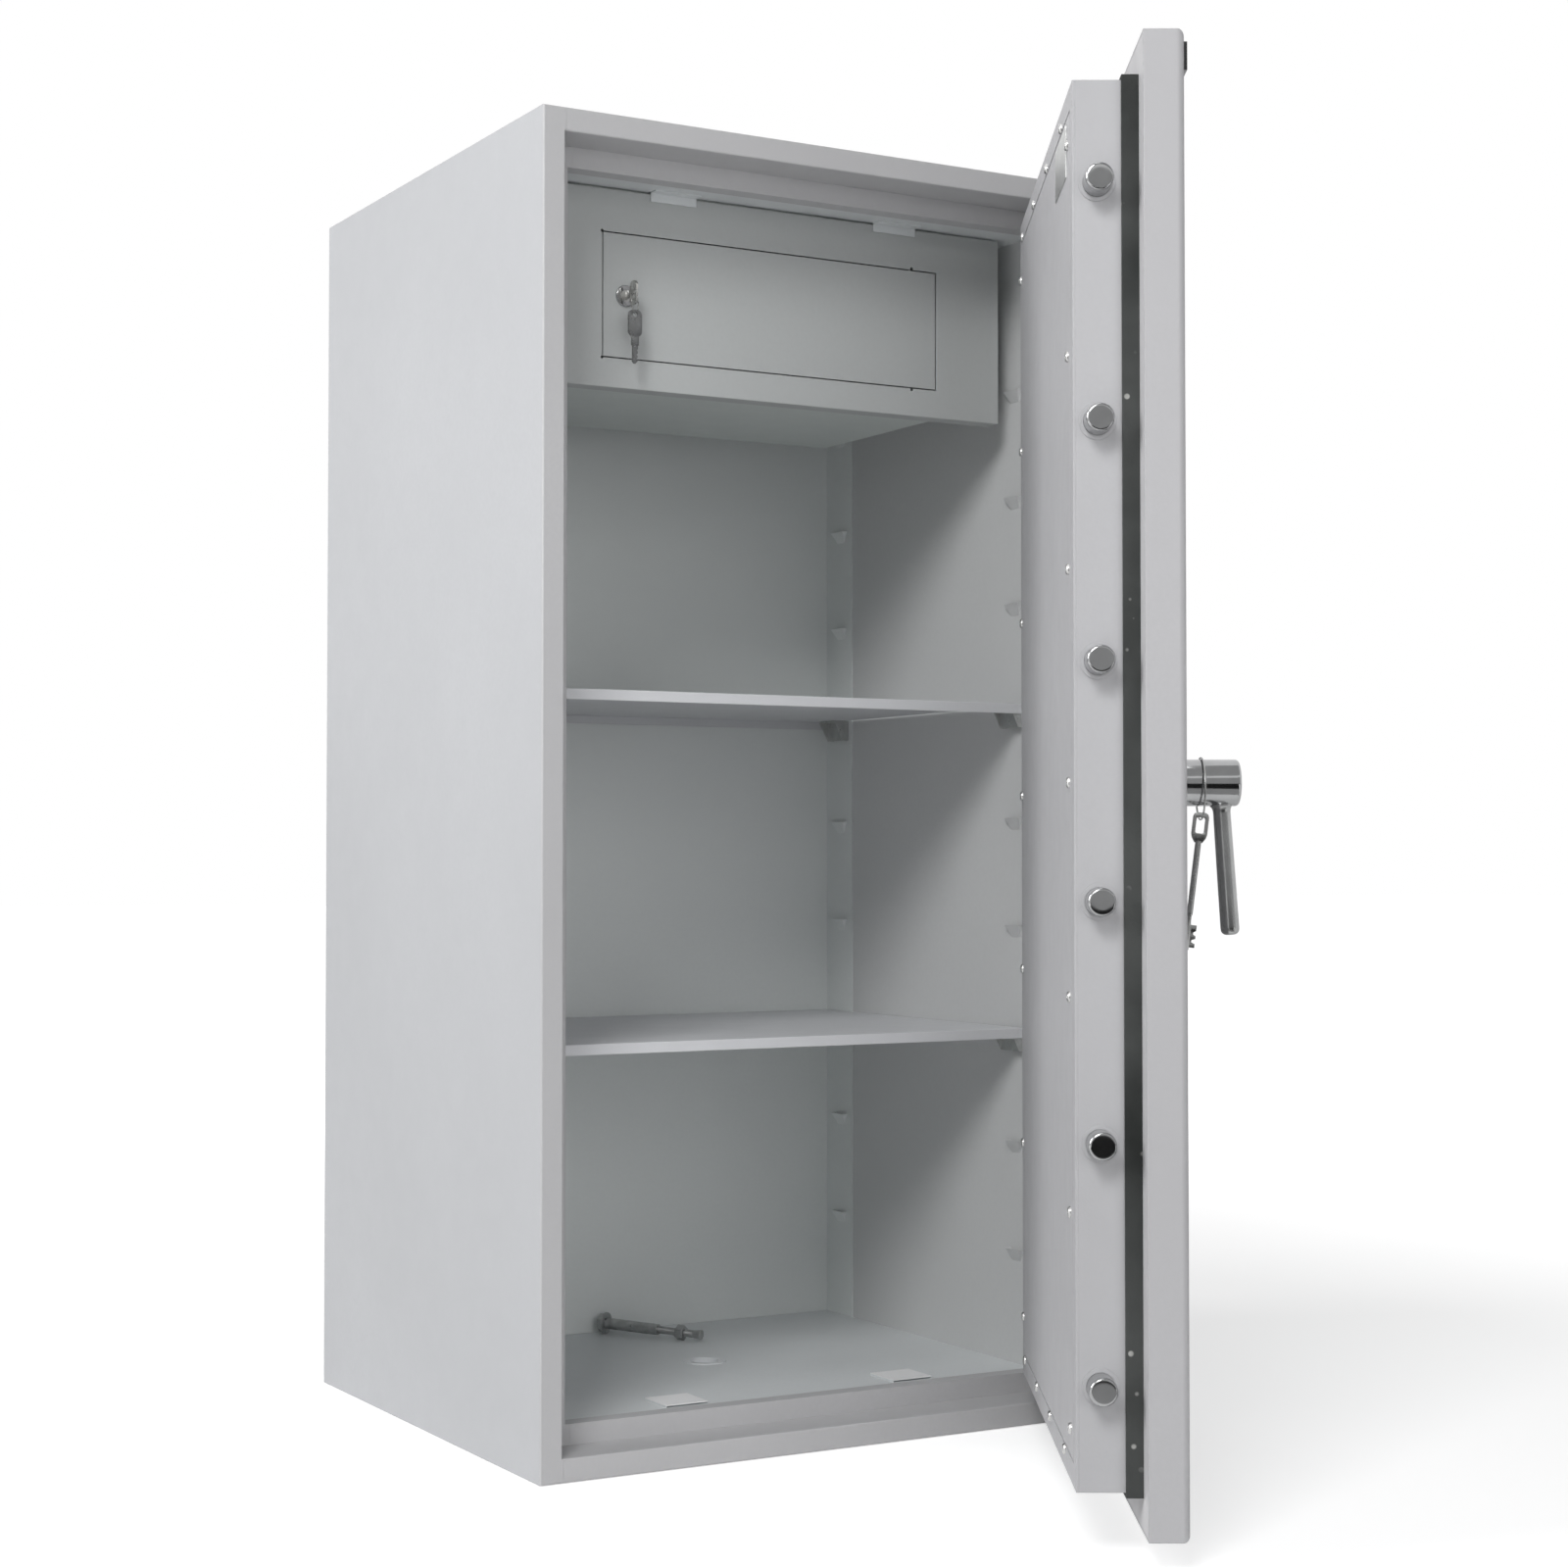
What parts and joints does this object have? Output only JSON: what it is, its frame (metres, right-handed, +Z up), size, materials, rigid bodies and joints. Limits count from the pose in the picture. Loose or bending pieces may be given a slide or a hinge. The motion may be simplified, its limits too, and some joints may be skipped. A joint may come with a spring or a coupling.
{
  "type": "fireproof safe",
  "caption": "Tall grey fireproof safe with its right-hinged door open, showing shelves, a lockable compartment, locking bolts, a lever handle and keys.",
  "frame": {"origin": "centre of the underside of the body", "axes": "+Z up, +Y to the back, +X to the hinge side of the door; stored with the door 60 degrees open"},
  "size_m": [0.62, 1.0498, 1.2],
  "materials": {
    "grey_powder_coat": "fine textured satin powder coat",
    "cast_insulation": "rough cast",
    "zinc_plated_steel": "zinc plated",
    "bright_chrome": "polished",
    "satin_chrome": "satin",
    "nickel_steel": "nickel plated",
    "fire_seal_strip": "matt, speckled",
    "plate_aluminium": "satin, blank",
    "black_plastic": "gloss, blank"
  },
  "bodies": {
    "cabinet": {"casing_wrap": "grey_powder_coat", "casing_ends": "grey_powder_coat", "front_frame": "grey_powder_coat", "rim_filling": "cast_insulation", "insulation_bottom": "cast_insulation", "insulation_top": "cast_insulation", "insulation_left": "cast_insulation", "insulation_right": "cast_insulation", "insulation_back": "cast_insulation", "strike_strip": "zinc_plated_steel", "liner_floor": "grey_powder_coat", "liner_ceiling": "grey_powder_coat", "liner_right": "grey_powder_coat", "liner_left": "grey_powder_coat", "liner_back": "grey_powder_coat", "anchor_tube": "zinc_plated_steel", "anchor_cap": "zinc_plated_steel", "anchor_bolt": "zinc_plated_steel", "anchor_fittings": "zinc_plated_steel", "upper_shelf": "grey_powder_coat", "lower_shelf": "grey_powder_coat", "shelf_clips": "zinc_plated_steel", "locker_faceplate": "grey_powder_coat", "locker_shell": "grey_powder_coat", "locker_screws": "zinc_plated_steel", "locker_pins": "zinc_plated_steel", "hinge_leaves": "grey_powder_coat", "hinge_pins": "zinc_plated_steel"},
    "door": {"door_skin": "grey_powder_coat", "door_filling": "cast_insulation", "door_plate": "grey_powder_coat", "door_box": "grey_powder_coat", "back_cover": "grey_powder_coat", "cover_screws": "zinc_plated_steel", "fire_seal": "fire_seal_strip", "box_filling": "cast_insulation", "hinge_straps": "grey_powder_coat", "bolt_bushes": "zinc_plated_steel", "guide_studs": "zinc_plated_steel", "lock_case": "zinc_plated_steel", "keyhole_plate": "satin_chrome", "door_tubes": "zinc_plated_steel", "data_plate": "plate_aluminium", "badge": "black_plastic"},
    "handle": {"handle_hub": "bright_chrome", "handle_lever": "satin_chrome", "handle_spindle": "zinc_plated_steel", "handle_crank": "zinc_plated_steel"},
    "bolt_work": {"lock_bolts": "bright_chrome", "bolt_bar": "zinc_plated_steel"},
    "lock_tongue": {"lock_tongue": "zinc_plated_steel"},
    "keyhole_cover": {"keyhole_cover": "satin_chrome"},
    "key_ring": {"key_ring": "nickel_steel"},
    "door_key": {"door_key": "nickel_steel"},
    "locker_door": {"locker_door": "grey_powder_coat", "locker_lock": "bright_chrome"},
    "locker_lock": {"locker_plug": "zinc_plated_steel", "locker_key": "nickel_steel"},
    "locker_key_ring": {"locker_key_ring": "nickel_steel"},
    "locker_spare_key": {"locker_spare_key": "nickel_steel"}
  },
  "joints": [
    {"name": "door_swing", "type": "hinge", "parent": "cabinet", "child": "door", "pos_m": [0.294, -0.281, 0.6], "axis": [0, 0, 1], "range_deg": [-60, 110]},
    {"name": "handle_turn", "type": "hinge", "parent": "door", "child": "handle", "pos_m": [0.05196, -0.72323, 0.6], "axis": [-0.866, 0.5, 0], "range_deg": [-90, 0]},
    {"name": "bolt_slide", "type": "slide", "parent": "door", "child": "bolt_work", "axis": [0.5, 0.866, 0], "range_m": [0, 0.023]},
    {"name": "tongue_slide", "type": "slide", "parent": "door", "child": "lock_tongue", "axis": [0, 0, 1], "range_m": [0, 0.008]},
    {"name": "cover_swivel", "type": "hinge", "parent": "door", "child": "keyhole_cover", "pos_m": [0.03724, -0.71473, 0.714], "axis": [-0.866, 0.5, 0], "range_deg": [0, 110]},
    {"name": "key_ring_swing", "type": "hinge", "parent": "door", "child": "key_ring", "pos_m": [0.05282, -0.72373, 0.6], "axis": [-0.866, 0.5, 0], "range_deg": [-25, 25]},
    {"name": "door_key_swing", "type": "hinge", "parent": "key_ring", "child": "door_key", "pos_m": [0.05282, -0.72373, 0.5708], "axis": [-0.866, 0.5, 0], "range_deg": [-20, 20]},
    {"name": "locker_door_swing", "type": "hinge", "parent": "cabinet", "child": "locker_door", "pos_m": [0.1411, -0.1545, 1.0651], "axis": [0, 0, 1], "range_deg": [0, 65]},
    {"name": "locker_lock_turn", "type": "hinge", "parent": "locker_door", "child": "locker_lock", "pos_m": [-0.1751, -0.1605, 1.0651], "axis": [0, 1, 0], "range_deg": [0, 90]},
    {"name": "locker_key_ring_swing", "type": "hinge", "parent": "locker_lock", "child": "locker_key_ring", "pos_m": [-0.1751, -0.181, 1.0651], "axis": [0, 1, 0], "range_deg": [-8, 8]},
    {"name": "locker_spare_key_swing", "type": "hinge", "parent": "locker_key_ring", "child": "locker_spare_key", "pos_m": [-0.1751, -0.181, 1.0441], "axis": [0, 1, 0], "range_deg": [-35, 35]}
  ],
  "couplings": [
    {"joint": "bolt_slide", "follows": "handle_turn", "m_per_rad": -0.014642}
  ]
}
